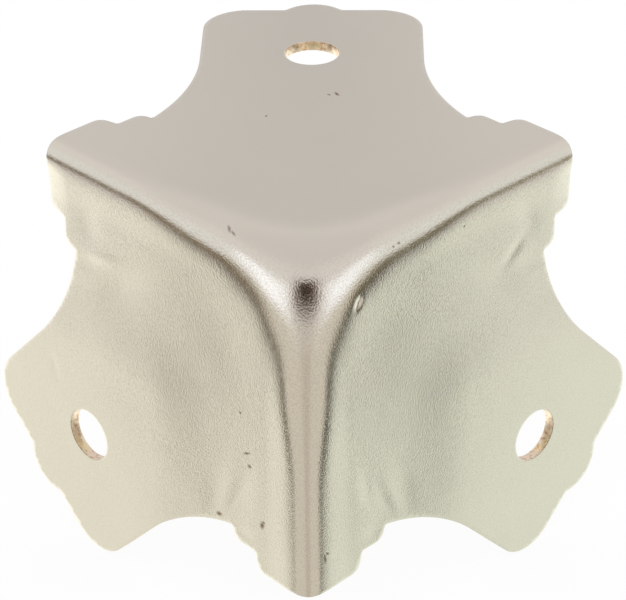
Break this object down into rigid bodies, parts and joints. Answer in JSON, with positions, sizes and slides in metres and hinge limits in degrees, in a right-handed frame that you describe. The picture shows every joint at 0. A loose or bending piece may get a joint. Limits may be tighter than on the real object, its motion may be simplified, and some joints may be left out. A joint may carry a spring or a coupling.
{
  "type": "flight case corner",
  "caption": "Pressed sheet-metal cap with rounded folds and a scalloped riveting ear on every face, fitted over the corner of a transport case to protect it.",
  "frame": {"origin": "corner point of the case that the cap fits over, where the planes of the three inner faces meet", "axes": "+Z out of the top face, -Y and +X out of the two side faces; the cap reaches from the corner to -X, +Y and -Z, along the case's edges"},
  "size_m": [0.0408, 0.0408, 0.0408],
  "materials": {
    "nickel_plate": "satin nickel plate on drawn steel sheet"
  },
  "bodies": {
    "root": {"corner_plate": "nickel_plate"}
  },
  "joints": []
}
